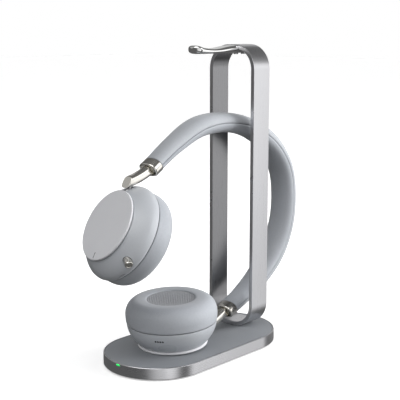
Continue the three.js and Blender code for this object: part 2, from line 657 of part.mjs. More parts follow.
// ---------------------------------------------------------------- the whole object
addBase(model);
addLoop(model);
addHeadband(model);
add(model, 'upper_arm', armBar('upper'), materials.nickel);
add(model, 'lower_arm', armBar('lower'), materials.nickel);
addUpperCup(model);
addLowerCup(model);

export default model;
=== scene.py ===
"""Looks of the wireless office headset and its charging stand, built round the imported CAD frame.

Lengths in this file are millimetres until they reach Blender, which works in metres.
"""

import json
import math

import bmesh
import bpy
import numpy as np
from mathutils import Matrix, Vector


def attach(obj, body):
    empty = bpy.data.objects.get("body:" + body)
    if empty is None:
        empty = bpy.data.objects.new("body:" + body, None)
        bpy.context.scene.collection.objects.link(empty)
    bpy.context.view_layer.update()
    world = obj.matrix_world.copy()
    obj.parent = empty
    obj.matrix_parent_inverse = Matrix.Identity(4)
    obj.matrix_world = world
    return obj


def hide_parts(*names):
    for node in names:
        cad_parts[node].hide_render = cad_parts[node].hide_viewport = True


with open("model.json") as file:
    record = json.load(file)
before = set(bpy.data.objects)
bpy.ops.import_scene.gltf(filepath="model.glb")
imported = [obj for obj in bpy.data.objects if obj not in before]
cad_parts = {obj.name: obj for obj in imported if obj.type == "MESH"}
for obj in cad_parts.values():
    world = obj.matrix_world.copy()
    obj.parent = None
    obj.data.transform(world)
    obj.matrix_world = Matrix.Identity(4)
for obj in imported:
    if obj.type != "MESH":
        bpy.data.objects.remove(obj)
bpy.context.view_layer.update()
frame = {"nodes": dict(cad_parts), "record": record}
MM = 0.001

# ---------------------------------------------------------------- driving dimensions in millimetres
# Main sizes are those of the CAD. Small ones, such as the pin slot's depth, may differ for the looks.
BASE = dict(straight=38.4, radius=42.0, height=10.1, wall=2.6, lip=0.9, foot=1.2, seat_depth=1.9)
# openings in the rim, as boxes that reach through its wall
PORT = dict(x=(70, 90), y=(-5.0, 5.0), z=(3.9, 7.7), radius=1.5)
LAMP_SLOT = dict(x=(-90, -70), y=(-2.1, 2.1), z=(8.2, 9.4), radius=0.5)
LOOP = dict(x=56.9, width=19.5, half_span=23.3, thickness=3.3, bottom=10.25, top=241.6, corner=19.5,
            chamfer=0.28)
HOOK = dict(tip=0.6, width=14.0, bottom=234.8, root_top=241.1, saddle_top=238.9, tip_top=240.2,
            saddle_end=0.55, rise_start=0.8, rounding_start=0.88, thinnest=0.02)
# the headband's middle line as (X, Z), from the resting cup's end round to the hanging cup's
BAND_LINE = [
    (46.2, 26.0), (61.0, 32.4), (87.1, 48.3), (106.5, 68.6), (117.0, 95.5), (114.6, 131.5),
    (98.8, 154.8), (71.2, 172.3), (39.0, 180.2), (6.5, 178.6), (-22.0, 166.2), (-40.6, 155.0),
]
BAND = dict(end_half=(8.6, 5.7), mid_half=(11.6, 7.8), taper=70.0, roundness=2.4, pad_roundness=2.25,
            skin=1.8)
# the groove between the headband's two halves
SEAM = dict(inset=0.35, half_gap=0.16, edge=0.12, turn_in=2.5)
COLLAR = dict(length=7.8, grow=0.2, rim=1.3, rim_depth=1.8)
ARM = dict(half=(4.1, 3.8), roundness=3.0, clearance=0.4, tongue=(6.4, 2.4), tongue_length=14.0)
# how far the rooms for the arms and their tongues run, out from an end of the headband
BAR_ROOM = (-7.0, 1.0)
TONGUE_ROOM = (-21.0, 1.0)
CUP = dict(seam=35.6, bowl=36.6, widest=3.0, neck=27.0, bowl_height=16.4, wall=2.2, floor=1.8,
           disc=27.4, face=18.8, cushion=36.0, depth=18.5, ear=20.0, hinge_radius=20.8, hinge_height=12.0)
BARS = {
    "upper": dict(inside=13.0, straight=-2.0, handles=(4.0, 9.0), reach=34.4, height=17.0, lean=36.0),
    "lower": dict(inside=1.5, straight=12.0, handles=(5.0, 5.0), reach=36.2, height=12.7, lean=93.0),
}
# looks alone: where and how much the hanging bowl is eased, and how the resting bowl's wall runs
HANGING_SHOULDER = dict(start=6.0, ease=0.3)
RESTING_WALL = dict(inset=0.4, power=1.9)
PIN_SLOT = dict(inset=1.2, half_width=3.1, half_height=3.9, radius=0.6)
BUTTON = dict(angle=-128.1, height=8.1, radius=3.0, depth=3.6, stand=4.0)
MIC_SLOT = dict(angle=-148.4, x=(35.4, 38), y=(-3.2, 3.2), z=(2.75, 3.45), radius=0.2)
MIC_HOLES = dict(count=4, first=147.7, step=3.2, height=5.6, radius=0.8, plug_radius=0.83,
                 plug_depth=(1.4, 0.3))
# looks alone: the short line on the disc
MARK = dict(x=(21.4, 26), y=(-0.32, 0.32), sunk=0.3, proud=0.04, radius=0.02)
# heights below the seam, and how far in from its side the cushion's crown is
CUSHION = dict(back=-1.8, lip=-0.62, widest=-6.0, crown=10.5)
# looks alone: the cloth simulation of the ear cushions, and the ribs of the speaker cloth
SWELL = dict(pressure=4.0, cap=0.7, frames=20, pinned_above=-2.6, pinned_near_ear=0.8)
RIBS = dict(angle=-42.4, pitch=1.35, depth=0.16, fade=1.0, dish=0.6, sunk=1.0)
GAP = 0.3
POLE = 0.01         # radius at the axis of a turned part

# each panel of the room: the way to it, cosines where it fades in and is full, strength
ROOM_GLOW = 0.12
ROOM_PANELS = {
    "ceiling": ((0, 0, 1), 0.50, 1.00, 0.05),
    "edge of the room on the right": ((0.97, 0.06, 0.10), 0.88, 0.97, 0.45),
    "softbox, high and near": ((0.35, -0.85, 0.42), 0.90, 0.97, 1.6),
    "bright wall on the right": ((0.726, -0.66, 0.06), 0.95, 0.995, 1.25),
    "pale floor strip on the right": ((0.64, -0.72, -0.35), 0.945, 0.99, 0.85),
    "bright wall behind": ((0.726, 0.663, 0.22), 0.90, 0.98, 0.50),
    "fill softbox on the left": ((-0.60, -0.05, 0.80), 0.84, 0.95, 2.4),
    "pale panel behind on the left": ((-0.50, 0.66, 0.556), 0.88, 0.97, 0.35),
    "weak fill beside the camera": ((-0.56, -0.82, 0.06), 0.72, 0.97, 0.72),
    "pale strip in front": ((-0.24, -0.94, -0.24), 0.95, 0.995, 0.50),
}
# the way to each light from the middle of the object, and its energy
MATT_LIGHTS = {
    "key": ((0.70, -0.62, 0.34), 19.0),
    "low_key": ((0.78, -0.62, 0.04), 10.5),
    "rim_key": ((0.97, 0.06, 0.04), 9.5),
}
LIGHT = dict(size=0.9, distance=1.5, aim=(0.0, 0.0, 0.13))
CAMERA = dict(place=(-0.5357, -0.4978, 0.2562), heading=47.62, drop=10.38, lens=85.68, sensor=36.0)
FLOOR = dict(half_size=6.0, glow=0.36)

# sockets of a colour mix node, which share their names with those of its other types
MIX_FACTOR, MIX_FIRST, MIX_SECOND, MIX_RESULT = 0, 6, 7, 2


# ---------------------------------------------------------------- materials
class Nodes:
    """A small helper that builds one material's node tree."""

    def __init__(self, name):
        self.material = bpy.data.materials.new(name)
        self.material.use_nodes = True
        self.tree = self.material.node_tree
        self.shader = self.tree.nodes["Principled BSDF"]
        self.coords = self.tree.nodes.new("ShaderNodeTexCoord").outputs["Object"]

    def node(self, kind, **values):
        made = self.tree.nodes.new(kind)
        for key, value in values.items():
            if key in made.inputs:
                made.inputs[key].default_value = value
            else:
                setattr(made, key, value)
        return made

    def link(self, source, target):
        self.tree.links.new(source, target)

    def stretched(self, scale):
        mapping = self.node("ShaderNodeMapping")
        mapping.inputs["Scale"].default_value = scale
        self.link(self.coords, mapping.inputs["Vector"])
        return mapping.outputs["Vector"]

    def noise(self, scale, detail=3.0, vector=None, roughness=0.5):
        made = self.node("ShaderNodeTexNoise", Scale=scale, Detail=detail, Roughness=roughness)
        self.link(vector or self.coords, made.inputs["Vector"])
        return made.outputs["Fac"]

    def cells(self, scale, feature="F1"):
        made = self.node("ShaderNodeTexVoronoi", Scale=scale, feature=feature)
        self.link(self.coords, made.inputs["Vector"])
        return made.outputs["Distance"]

    def ramp(self, source, low, high, to_low, to_high):
        made = self.node("ShaderNodeMapRange")
        made.inputs["From Min"].default_value = low
        made.inputs["From Max"].default_value = high
        made.inputs["To Min"].default_value = to_low
        made.inputs["To Max"].default_value = to_high
        self.link(source, made.inputs["Value"])
        return made.outputs["Result"]

    def blend_colours(self, factor, first, second):
        made = self.tree.nodes.new("ShaderNodeMix")
        made.data_type = "RGBA"
        made.inputs[MIX_FIRST].default_value = (*first, 1)
        made.inputs[MIX_SECOND].default_value = (*second, 1)
        self.link(factor, made.inputs[MIX_FACTOR])
        return made.outputs[MIX_RESULT]

    def arithmetic(self, operation, first, second):
        made = self.node("ShaderNodeMath", operation=operation)
        self.link(first, made.inputs[0])
        self.link(second, made.inputs[1])
        return made.outputs[0]

    def multiply(self, first, second):
        return self.arithmetic("MULTIPLY", first, second)

    def add(self, first, second):
        return self.arithmetic("ADD", first, second)

    def colour(self, factor, first, second):
        self.link(self.blend_colours(factor, first, second), self.shader.inputs["Base Color"])

    def roughness(self, factor, low, high):
        self.link(self.ramp(factor, 0.3, 0.7, low, high), self.shader.inputs["Roughness"])

    def bump(self, height, strength, distance):
        made = self.node("ShaderNodeBump", Strength=strength, Distance=distance * MM)
        self.link(height, made.inputs["Height"])
        self.link(made.outputs["Normal"], self.shader.inputs["Normal"])

    def set(self, **values):
        for key, value in values.items():
            self.shader.inputs[key.replace("_", " ")].default_value = value
        return self


def cool_grey(value):
    """A grey with a little blue in it."""
    return (value, value, value * 1.03)


RIM_BRUSHING = (60.0, 60.0, 9000.0)
LOOP_BRUSHING = (9000.0, 60.0, 60.0)
TURNED = (400.0, 400.0, 4000.0)
EVEN_GRAIN = (3000.0, 3000.0, 3000.0)


def brushed(name, scale, tone, rough):
    """Satin metal with fine lines that run along the axes where scale is small."""
    m = Nodes(name).set(Metallic=1.0)
    lines = m.noise(1.0, 4.0, m.stretched(scale), 0.65)
    cloud = m.noise(14.0, 2.0)
    m.colour(lines, cool_grey(tone * 0.93), cool_grey(tone))
    m.roughness(m.ramp(m.add(lines, cloud), 0.6, 1.4, 0.3, 0.7), rough - 0.05, rough + 0.07)
    m.bump(lines, 0.12, 0.02)
    return m.material


def loop_metal(name):
    """The loop's satin metal, with painted shade that darkens its inner faces."""
    m = Nodes(name).set(Metallic=1.0)
    lines = m.noise(1.0, 4.0, m.stretched(LOOP_BRUSHING), 0.65)
    place = m.node("ShaderNodeSeparateXYZ")
    facing = m.node("ShaderNodeSeparateXYZ")
    m.link(m.coords, place.inputs[0])
    m.link(m.tree.nodes["Texture Coordinate"].outputs["Normal"], facing.inputs[0])
    inward = m.multiply(place.outputs["Y"], facing.outputs["Y"])
    # painted shade: faces that look in towards the loop's middle get a much darker tone than the outer faces
    inner = m.ramp(inward, -0.008, -0.016, 0.0, 1.0)
    outer_tone = m.blend_colours(lines, cool_grey(0.67), cool_grey(0.72))
    painted_shade_tone = m.blend_colours(lines, cool_grey(0.26), cool_grey(0.30))
    mix = m.node("ShaderNodeMix", data_type="RGBA")
    m.link(inner, mix.inputs[MIX_FACTOR])
    m.link(outer_tone, mix.inputs[MIX_FIRST])
    m.link(painted_shade_tone, mix.inputs[MIX_SECOND])
    m.link(mix.outputs[MIX_RESULT], m.shader.inputs["Base Color"])
    m.roughness(lines, 0.26, 0.34)
    m.bump(lines, 0.12, 0.02)
    return m.material


def polished(name, colour, rough, smudge):
    """Plated metal: almost a mirror, with faint handling marks."""
    m = Nodes(name).set(Metallic=1.0)
    cloud = m.noise(60.0, 4.0, roughness=0.6)
    grain = m.noise(900.0, 2.0)
    m.colour(cloud, tuple(c * 0.96 for c in colour), colour)
    m.roughness(cloud, rough, rough + smudge)
    m.bump(grain, 0.03, 0.02)
    return m.material


def moulded(name, low, high, rough, grain_scale=700.0, grain=0.10, coat=0.0):
    """Painted or moulded plastic with a fine eggshell grain and slow tone drift."""
    m = Nodes(name)
    fine = m.noise(grain_scale, 3.0, roughness=0.6)
    slow = m.noise(22.0, 2.0)
    m.colour(m.add(m.ramp(fine, 0.35, 0.65, 0.0, 0.35), m.ramp(slow, 0.35, 0.65, 0.0, 0.65)), low, high)
    m.roughness(slow, rough - 0.04, rough + 0.05)
    m.bump(fine, grain, 0.03)
    m.set(Coat_Weight=coat, Coat_Roughness=0.35)
    return m.material


def leather(name, low, high, rough):
    """Smooth protein leather: shallow pebbles, finer pores and a soft sheen."""
    m = Nodes(name)
    pebbles = m.cells(750.0, feature="SMOOTH_F1")
    pores = m.noise(2600.0, 2.0)
    slow = m.noise(35.0, 3.0)
    height = m.add(m.ramp(pebbles, 0.0, 0.7, 0.0, 1.0), m.ramp(pores, 0.3, 0.7, 0.0, 0.35))
    m.colour(m.add(m.ramp(pebbles, 0.1, 0.6, 0.0, 0.4), m.ramp(slow, 0.35, 0.65, 0.0, 0.6)), low, high)
    m.roughness(slow, rough - 0.05, rough + 0.06)
    m.bump(height, 0.22, 0.05)
    m.set(Sheen_Weight=0.12, Sheen_Roughness=0.4)
    return m.material


def knit(name):
    """Ribbed speaker cloth. The ribs are in the mesh; the loops of the knit are here."""
    m = Nodes(name)
    loops = m.cells(1500.0)
    fuzz = m.noise(1800.0, 3.0)
    m.colour(m.ramp(loops, 0.1, 0.6, 0.0, 1.0), (0.16, 0.168, 0.182), (0.34, 0.35, 0.375))
    m.roughness(fuzz, 0.8, 0.95)
    m.bump(m.add(loops, fuzz), 0.5, 0.12)
    m.set(Sheen_Weight=0.3, Sheen_Roughness=0.5)
    return m.material


def lamp(name):
    """Lit green plastic."""
    m = Nodes(name)
    cloud = m.noise(900.0, 2.0)
    m.colour(cloud, (0.02, 0.45, 0.10), (0.05, 0.65, 0.18))
    m.roughness(cloud, 0.25, 0.4)
    m.set(Emission_Color=(0.02, 0.9, 0.14, 1), Emission_Strength=1.6)
    return m.material


def paper(name):
    """Pale matt floor."""
    m = Nodes(name)
    cloud = m.noise(40.0, 3.0)
    m.colour(cloud, (0.93, 0.93, 0.93), (0.95, 0.95, 0.95))
    m.roughness(cloud, 0.85, 0.95)
    m.set(Emission_Color=(1, 1, 1, 1), Emission_Strength=FLOOR["glow"])
    return m.material


MATERIALS = {
    "aluminium": brushed("brushed_aluminium", RIM_BRUSHING, tone=0.70, rough=0.27),
    "loop": loop_metal("loop_aluminium"),
    "chrome": polished("polished_chrome", (0.86, 0.86, 0.85), rough=0.05, smudge=0.05),
    "nickel": polished("champagne_nickel", (0.79, 0.765, 0.71), rough=0.13, smudge=0.07),
    "soft_touch": moulded("soft_touch_paint", (0.215, 0.227, 0.245), (0.25, 0.262, 0.28),
                          rough=0.55, grain_scale=1500.0, grain=0.16),
    "shell": moulded("earcup_paint", (0.45, 0.47, 0.50), (0.49, 0.51, 0.54),
                     rough=0.30, grain_scale=900.0, grain=0.05, coat=0.35),
    "disc": moulded("disc_paint", (0.66, 0.665, 0.69), (0.70, 0.705, 0.73),
                    rough=0.5, grain_scale=1200.0, grain=0.08),
    "cushion": leather("cushion_leather", (0.38, 0.40, 0.43), (0.43, 0.45, 0.485), rough=0.42),
    "cover": leather("headband_leather", (0.40, 0.42, 0.45), (0.45, 0.47, 0.50), rough=0.38),
    "ear_mesh": knit("ribbed_knit"),
    "dark_plastic": moulded("dark_plastic", (0.035, 0.037, 0.04), (0.05, 0.052, 0.056), rough=0.5),
    "rubber": moulded("foot_rubber", (0.02, 0.02, 0.022), (0.035, 0.035, 0.037),
                      rough=0.8, grain_scale=1500.0, grain=0.25),
    "steel": brushed("turned_steel", TURNED, tone=0.5, rough=0.33),
    "copper": brushed("enamelled_copper", EVEN_GRAIN, tone=0.5, rough=0.3),
    "board": moulded("circuit_board", (0.012, 0.09, 0.045), (0.02, 0.13, 0.065), rough=0.35),
    "battery": moulded("battery_foil", (0.38, 0.42, 0.47), (0.46, 0.50, 0.55), rough=0.3),
    "lamp": lamp("status_lamp"),
    "ink": moulded("mark_ink", (0.05, 0.055, 0.06), (0.08, 0.085, 0.09), rough=0.5),
}


# ---------------------------------------------------------------- mesh helpers
WELD = 1e-7         # metres: points nearer than this are one point
SOFT_SLOTS = ("cushion", "cover", "ear_mesh")


def build(name, points, faces, slot, matrix=None, sharp=38.0):
    """Makes an object from millimetre points, with smooth faces and sharp edges over an angle."""
    mesh = bpy.data.meshes.new(name)
    mesh.from_pydata([(x * MM, y * MM, z * MM) for x, y, z in points], [], faces)
    if matrix is not None:
        mesh.transform(matrix)
    tidy = bmesh.new()
    tidy.from_mesh(mesh)
    bmesh.ops.remove_doubles(tidy, verts=tidy.verts, dist=WELD)
    bmesh.ops.recalc_face_normals(tidy, faces=tidy.faces)
    tidy.to_mesh(mesh)
    tidy.free()
    shade(mesh, sharp)
    mesh.materials.append(MATERIALS[slot])
    piece = bpy.data.objects.new(name, mesh)
    bpy.context.scene.collection.objects.link(piece)
    return piece


def shade(mesh, sharp):
    """Smooth shading, with hard edges where faces meet at more than an angle in degrees."""
    mesh.shade_smooth()
    mesh.set_sharp_from_angle(angle=math.radians(sharp))


def loft(rings, closed=False, caps=True):
    """Faces between rings that all have the same number of points. Returns points and faces."""
    count = len(rings[0])
    points = [p for ring in rings for p in ring]
    spans = len(rings) if closed else len(rings) - 1
    faces = []
    for s in range(spans):
        here, there = s * count, ((s + 1) % len(rings)) * count
        for i in range(count):
            j = (i + 1) % count
            faces.append((here + i, here + j, there + j, there + i))
    if caps and not closed:
        faces.append(tuple(range(count)))
        faces.append(tuple(range(len(points) - count, len(points))))
    return points, faces


def lathe(profile, segments=144, closed=False):
    """Revolves [radius, z] points about Z. An open profile runs from pole to pole."""
    turns = [2 * math.pi * i / segments for i in range(segments)]
    rings = [[(r * math.cos(a), r * math.sin(a), z) for a in turns] for r, z in profile]
    return loft(rings, closed=closed, caps=not closed)


def join_parts(*parts):
    """One list of points and one of faces from several parts."""
    points, faces = [], []
    for more_points, more_faces in parts:
        start = len(points)
        points += more_points
        faces += [tuple(start + i for i in face) for face in more_faces]
    return points, faces


def moved(part, matrix):
    """The same part in another place."""
    points, faces = part
    return [tuple(matrix @ Vector(p)) for p in points], faces


def rounded_box(x, y, z, radius=0.3):
    """A box with small chamfers, as points and faces."""
    mesh = bmesh.new()
    size = Vector((x[1] - x[0], y[1] - y[0], z[1] - z[0]))
    centre = Vector(((x[0] + x[1]) / 2, (y[0] + y[1]) / 2, (z[0] + z[1]) / 2))
    bmesh.ops.create_cube(mesh, size=1.0, matrix=Matrix.Translation(centre) @ Matrix.Diagonal((*size, 1)))
    bmesh.ops.bevel(mesh, geom=list(mesh.edges), offset=radius, segments=2, affect="EDGES")
    mesh.verts.index_update()
    points = [tuple(v.co) for v in mesh.verts]
    faces = [tuple(v.index for v in f.verts) for f in mesh.faces]
    mesh.free()
    return points, faces


def superellipse(half, power, count=64):
    """Points of a rounded section as (across, outwards) pairs."""
    def shape(value):
        return math.copysign(abs(value) ** (2 / power), value)
    angles = [2 * math.pi * i / count for i in range(count)]
    return [(half[0] * shape(math.cos(a)), half[1] * shape(math.sin(a))) for a in angles]


def smooth(t):
    """Eases from 0 to 1 and stays within them."""
    t = min(1.0, max(0.0, t))
    return t * t * (3 - 2 * t)


def carve(piece, cutters, sharp=38.0):
    """Cuts the cutters out of a piece and removes them."""
    for cutter in cutters:
        cut = piece.modifiers.new("cut", "BOOLEAN")
        cut.object = cutter
        cut.operation = "DIFFERENCE"
        cut.solver = "EXACT"
    bpy.context.view_layer.update()
    result = bpy.data.meshes.new_from_object(piece.evaluated_get(bpy.context.evaluated_depsgraph_get()))
    piece.modifiers.clear()
    piece.data = result
    shade(result, sharp)
    for cutter in cutters:
        bpy.data.objects.remove(cutter)
    return piece


def settle(piece, body, slot, *nodes):
    """Gives a finished piece its body and, unless its slot is a soft one, even shading; hides the CAD nodes
    it stands for.
    """
    if slot not in SOFT_SLOTS:
        even = piece.modifiers.new("even_shading", "WEIGHTED_NORMAL")
        even.keep_sharp = True
        even.weight = 100
    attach(piece, body)
    if nodes:
        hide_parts(*nodes)
    return piece


# ---------------------------------------------------------------- base
def stadium(inset, z, steps=72):
    """The outline of the base, drawn in by an inset: two half circles joined by straight sides."""
    radius = BASE["radius"] - inset
    points = []
    for x, start in ((BASE["straight"], -math.pi / 2), (-BASE["straight"], math.pi / 2)):
        for i in range(steps + 1):
            angle = start + math.pi * i / steps
            points.append((x + radius * math.cos(angle), radius * math.sin(angle), z))
    return points


def make_rim():
    """The metal rim of the base, with the charging inlet and the lamp opening cut through."""
    top, foot = BASE["height"], BASE["foot"]
    seat = top - BASE["seat_depth"]
    profile = [(0.35, foot), (0.0, foot + 0.4), (0.0, top - 0.55), (0.12, top - 0.3), (0.32, top - 0.1),
               (0.58, top), (0.86, top), (BASE["lip"], top - 0.08), (BASE["lip"], seat),
               (BASE["wall"], seat), (BASE["wall"], foot)]
    points, faces = loft([stadium(inset, z) for inset, z in profile], closed=True)
    rim = build("rim_metal", points, faces, "aluminium")
    port = build("port_cutter", *rounded_box(**PORT), "dark_plastic")
    slot = build("lamp_cutter", *rounded_box(**LAMP_SLOT), "dark_plastic")
    settle(carve(rim, [port, slot]), "stand", "aluminium", "base_rim")


def make_top_plate():
    """The soft-touch plate, sunk a little below the rim's lip."""
    top = BASE["height"]
    seat = top - BASE["seat_depth"]
    edge = BASE["lip"] + GAP
    profile = [(edge + 0.2, seat + GAP), (edge, seat + GAP + 0.2), (edge, top - 0.35),
               (edge + 0.12, top - 0.16), (edge + 0.35, top - 0.1)]
    plate = build("top_plate_skin", *loft([stadium(inset, z) for inset, z in profile]), "soft_touch")
    settle(plate, "stand", "soft_touch", "base_top_plate")


# ---------------------------------------------------------------- loop and hook
def rounded_frame(inset, x, corner_steps=24):
    """One closed line of the upright loop, drawn in from its outside, at a place along X."""
    half = LOOP["half_span"] - inset
    radius = LOOP["corner"] - inset
    low, high = LOOP["bottom"] + inset, LOOP["top"] - inset
    corners = ((half - radius, low + radius, -90), (half - radius, high - radius, 0),
               (radius - half, high - radius, 90), (radius - half, low + radius, 180))
    points = []
    for y, z, start in corners:
        for i in range(corner_steps + 1):
            angle = math.radians(start + 90 * i / corner_steps)
            points.append((x, y + radius * math.cos(angle), z + radius * math.sin(angle)))
    return points


def make_loop():
    """A flat metal strip bent into a closed loop, with rounded edges all round its section."""
    side, skin, edge = LOOP["width"] / 2, LOOP["thickness"], LOOP["chamfer"]
    eased = edge * 0.3
    profile = [(edge, -side), (eased, -side + eased), (0, -side + edge), (0, side - edge),
               (eased, side - eased), (edge, side), (skin - edge, side),
               (skin - eased, side - eased), (skin, side - edge), (skin, edge - side),
               (skin - eased, eased - side), (skin - edge, -side)]
    rings = [rounded_frame(inset, LOOP["x"] + x) for inset, x in profile]
    band = build("loop_metal", *loft(rings, closed=True), "loop", sharp=30)
    settle(band, "stand", "aluminium", "loop_band")


def hook_section(along):
    """Middle height, and half width and half height, a share of the way from root to tip."""
    dip = math.sin(math.pi * min(1.0, along / HOOK["saddle_end"] * 0.5)) ** 2
    rise = smooth((along - HOOK["rise_start"]) / (1 - HOOK["rise_start"]))
    top = HOOK["root_top"] + (HOOK["saddle_top"] - HOOK["root_top"]) * dip
    top += (HOOK["tip_top"] - HOOK["saddle_top"]) * rise
    end = max(0.0, (along - HOOK["rounding_start"]) / (1 - HOOK["rounding_start"]))
    scale = math.sqrt(max(0.0, 1 - end ** 2.2))
    middle = (top + HOOK["bottom"]) / 2
    half_width = HOOK["width"] / 2 * max(scale, HOOK["thinnest"])
    half_height = (top - HOOK["bottom"]) / 2 * max(scale ** 0.8, HOOK["thinnest"])
    return middle, (half_width, half_height)


def make_hook(steps=90):
    """A solid chromed bar: a shallow saddle, then a rounded lip that turns up at the tip."""
    root = LOOP["x"] - LOOP["width"] / 2 - GAP
    length = root - HOOK["tip"]
    rings = []
    for i in range(steps + 1):
        along = 1 - (1 - i / steps) ** 1.3
        middle, half = hook_section(along)
        section = superellipse(half, 2.8, 72)
        rings.append([(root - along * length, y, middle + z) for y, z in section])
    tongue_top = LOOP["top"] - LOOP["thickness"] - GAP
    tongue = rounded_box((root - 2, LOOP["x"] + 8), (-6, 6), (HOOK["bottom"] + 0.2, tongue_top), 0.5)
    hook = build("hook_metal", *join_parts(loft(rings), tongue), "chrome")
    settle(hook, "stand", "chrome", "hook")


# ---------------------------------------------------------------- headband
def spline(points, per_span=40):
    """A centripetal curve through points, with its end tangents along the end chords."""
    points = [np.array(p, float) for p in points]
    padded = [2 * points[0] - points[1], *points, 2 * points[-1] - points[-2]]
    out = []
    for p0, p1, p2, p3 in zip(padded, padded[1:], padded[2:], padded[3:]):
        d0, d1, d2 = (max(1e-4, np.linalg.norm(b - a) ** 0.5) for a, b in ((p0, p1), (p1, p2), (p2, p3)))
        t1 = ((p1 - p0) / d0 - (p2 - p0) / (d0 + d1) + (p2 - p1) / d1) * d1
        t2 = ((p2 - p1) / d1 - (p3 - p1) / (d1 + d2) + (p3 - p2) / d2) * d1
        for i in range(per_span):
            t = i / per_span
            squared = (-3 * p1 + 3 * p2 - 2 * t1 - t2) * t ** 2
            cubed = (2 * p1 - 2 * p2 + t1 + t2) * t ** 3
            out.append(p1 + t1 * t + squared + cubed)
    out.append(points[-1])
    return np.array(out)


LINE = spline(BAND_LINE)
RUN = np.concatenate([[0], np.cumsum(np.linalg.norm(np.diff(LINE, axis=0), axis=1))])
BAND_LENGTH = float(RUN[-1])
LOOK_AHEAD = 1.5    # how far each way the headband's direction is judged over


def band_station(distance):
    """Place, direction and half sizes of the headband at a distance from its lower end."""
    def at(value):
        return np.array([np.interp(value, RUN, LINE[:, k]) for k in (0, 1)])
    place = at(distance)
    ahead = at(min(distance + LOOK_AHEAD, BAND_LENGTH)) - at(max(distance - LOOK_AHEAD, 0.0))
    ahead /= np.linalg.norm(ahead)
    grow = smooth(min(distance, BAND_LENGTH - distance) / BAND["taper"])
    half = [e + (m - e) * grow for e, m in zip(BAND["end_half"], BAND["mid_half"])]
    return place, ahead, half


def on_band(place, ahead, section):
    """Stands a section of (across, outwards) points across the headband's line."""
    return [(place[0] + ahead[1] * out, across, place[1] - ahead[0] * out) for across, out in section]


def band_rings(make_section, steps=150):
    """Sections all along the headband."""
    rings = []
    for i in range(steps + 1):
        place, ahead, half = band_station(BAND_LENGTH * i / steps)
        rings.append(on_band(place, ahead, make_section(half)))
    return rings


def arc(half, start, stop, steps, power):
    """Part of a rounded section, between two angles in degrees."""
    points = []
    for i in range(steps + 1):
        a = math.radians(start + (stop - start) * i / steps)
        c, s = math.cos(a), math.sin(a)
        points.append((half[0] * math.copysign(abs(c) ** (2 / power), c),
                       half[1] * math.copysign(abs(s) ** (2 / power), s)))
    return points


def cover_section(half):
    """Outer half: it turns in at the seam, so that a fine groove runs along each side."""
    inner = [value - BAND["skin"] for value in half]
    lip, gap, turn = half[0] - SEAM["inset"], SEAM["half_gap"], SEAM["turn_in"]
    outside = [(a, o + SEAM["edge"]) for a, o in arc(half, turn, 180 - turn, 34, BAND["roundness"])]
    inside = [(a, o + gap) for a, o in arc(inner, 180, 0, 20, BAND["roundness"])]
    return [(lip, gap), *outside, (-lip, gap), *inside]


def pad_section(half):
    """Inner half: a soft pad, a little fuller than its frame."""
    lip, gap, turn = half[0] - SEAM["inset"], SEAM["half_gap"], SEAM["turn_in"]
    outside = [(a, o - SEAM["edge"]) for a, o in arc(half, -turn, turn - 180, 34, BAND["pad_roundness"])]
    return [(lip, -gap), *outside, (-lip, -gap)]


def inflate(piece, pinned):
    """Swells a soft piece by cloth simulation; pinned points stay, and none moves past the cap."""
    group = piece.vertex_groups.new(name="seam")
    group.add(pinned, 1.0, "REPLACE")
    cloth = piece.modifiers.new("cloth", "CLOTH")
    cloth.settings.quality = 6
    cloth.settings.mass = 0.3
    cloth.settings.tension_stiffness = 20
    cloth.settings.compression_stiffness = 20
    cloth.settings.bending_stiffness = 2
    cloth.settings.use_pressure = True
    cloth.settings.uniform_pressure_force = SWELL["pressure"]
    cloth.settings.effector_weights.gravity = 0
    cloth.settings.vertex_group_mass = "seam"
    cloth.point_cache.frame_start = 1
    cloth.point_cache.frame_end = SWELL["frames"]
    scene = bpy.context.scene
    for number in range(1, SWELL["frames"] + 1):
        scene.frame_set(number)
    rest = np.array([v.co[:] for v in piece.data.vertices])
    swollen = piece.evaluated_get(bpy.context.evaluated_depsgraph_get())
    now = np.array([v.co[:] for v in swollen.data.vertices])
    shift = now - rest
    size = np.linalg.norm(shift, axis=1, keepdims=True)
    limit = SWELL["cap"] * MM
    almost_nothing = 1e-9
    shift *= limit * np.tanh(size / limit) / np.maximum(size, almost_nothing)
    piece.modifiers.clear()
    piece.vertex_groups.clear()
    for vertex, offset in zip(piece.data.vertices, shift):
        vertex.co += Vector(offset)
    scene.frame_set(1)


def band_end(side):
    """Place, outward direction and half sizes at one end of the headband."""
    place, ahead, half = band_station(BAND_LENGTH if side == "upper" else 0.0)
    return place, ahead if side == "upper" else -ahead, half


def rod_ring(end, distance, half, power):
    """A rounded section a distance out from an end of the headband."""
    place, way, _ = end
    return on_band(place + way * distance, way, superellipse(half, power))


def rectangle(half_w, half_h):
    """A plain section as (across, outwards) points."""
    return [(half_w, half_h), (-half_w, half_h), (-half_w, -half_h), (half_w, -half_h)]


def arm_bore():
    """Half sizes of the hole that an arm slides in."""
    return [value + ARM["clearance"] for value in ARM["half"]]


def slideway_cutters():
    """The room for each arm, and for its tongue, inside the ends of the headband."""
    cutters = []
    for side in ("upper", "lower"):
        end = band_end(side)
        place, way, _ = end
        tongue = rectangle(*(value / 2 + ARM["clearance"] for value in ARM["tongue"]))
        bar_room = loft([rod_ring(end, d, arm_bore(), ARM["roundness"]) for d in BAR_ROOM])
        tongue_room = loft([on_band(place + way * d, way, tongue) for d in TONGUE_ROOM])
        cutters.append(build(f"{side}_bar_room", *bar_room, "dark_plastic"))
        cutters.append(build(f"{side}_tongue_room", *tongue_room, "dark_plastic"))
    return cutters


def make_headband_skin():
    """The outer half of the headband, in leather."""
    cover = build("headband_skin", *loft(band_rings(cover_section)), "cover", sharp=50)
    settle(carve(cover, slideway_cutters(), sharp=50), "headband", "cover", "headband_cover")


